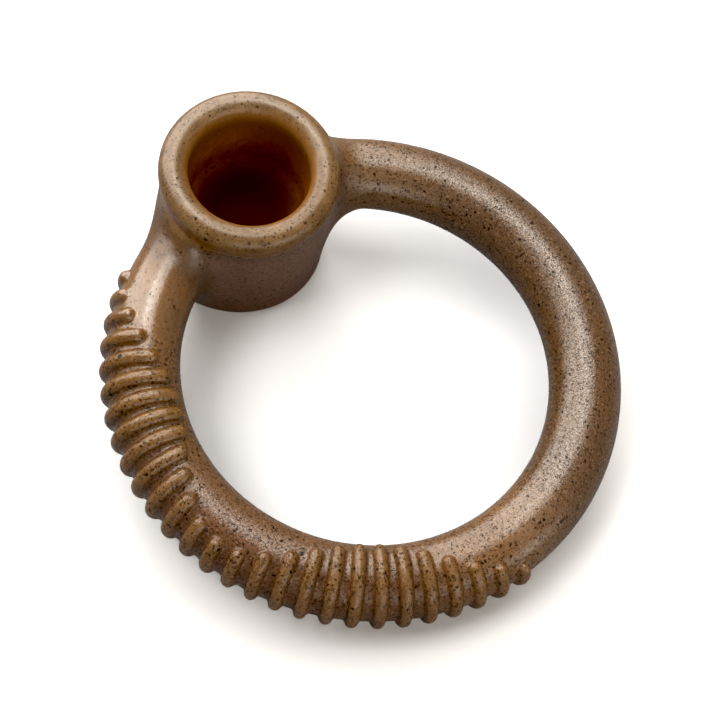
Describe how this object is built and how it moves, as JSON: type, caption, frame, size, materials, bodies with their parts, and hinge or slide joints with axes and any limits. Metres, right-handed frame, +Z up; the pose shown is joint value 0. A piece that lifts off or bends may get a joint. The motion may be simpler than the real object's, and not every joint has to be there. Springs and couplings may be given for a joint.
{
  "type": "chew ring",
  "caption": "Dog's chew ring of speckled brown nylon: a round bar bent into a ring, ribbed on one half, running into a small round treat cup with a rolled lip.",
  "frame": {"origin": "centre of the bounding box in plan, on the floor that the ring rests on", "axes": "+Z up from the floor; +Y from the ring's centre towards the cup, along the longest side; +X to the plain side of the ring"},
  "size_m": [0.1297, 0.1452, 0.0467],
  "materials": {
    "nylon": "satin, speckled with fine dark flecks"
  },
  "bodies": {
    "root": {"treat_cup": "nylon", "side_ribbed_bar": "nylon", "far_ribbed_bar": "nylon", "plain_bar": "nylon"}
  },
  "joints": []
}
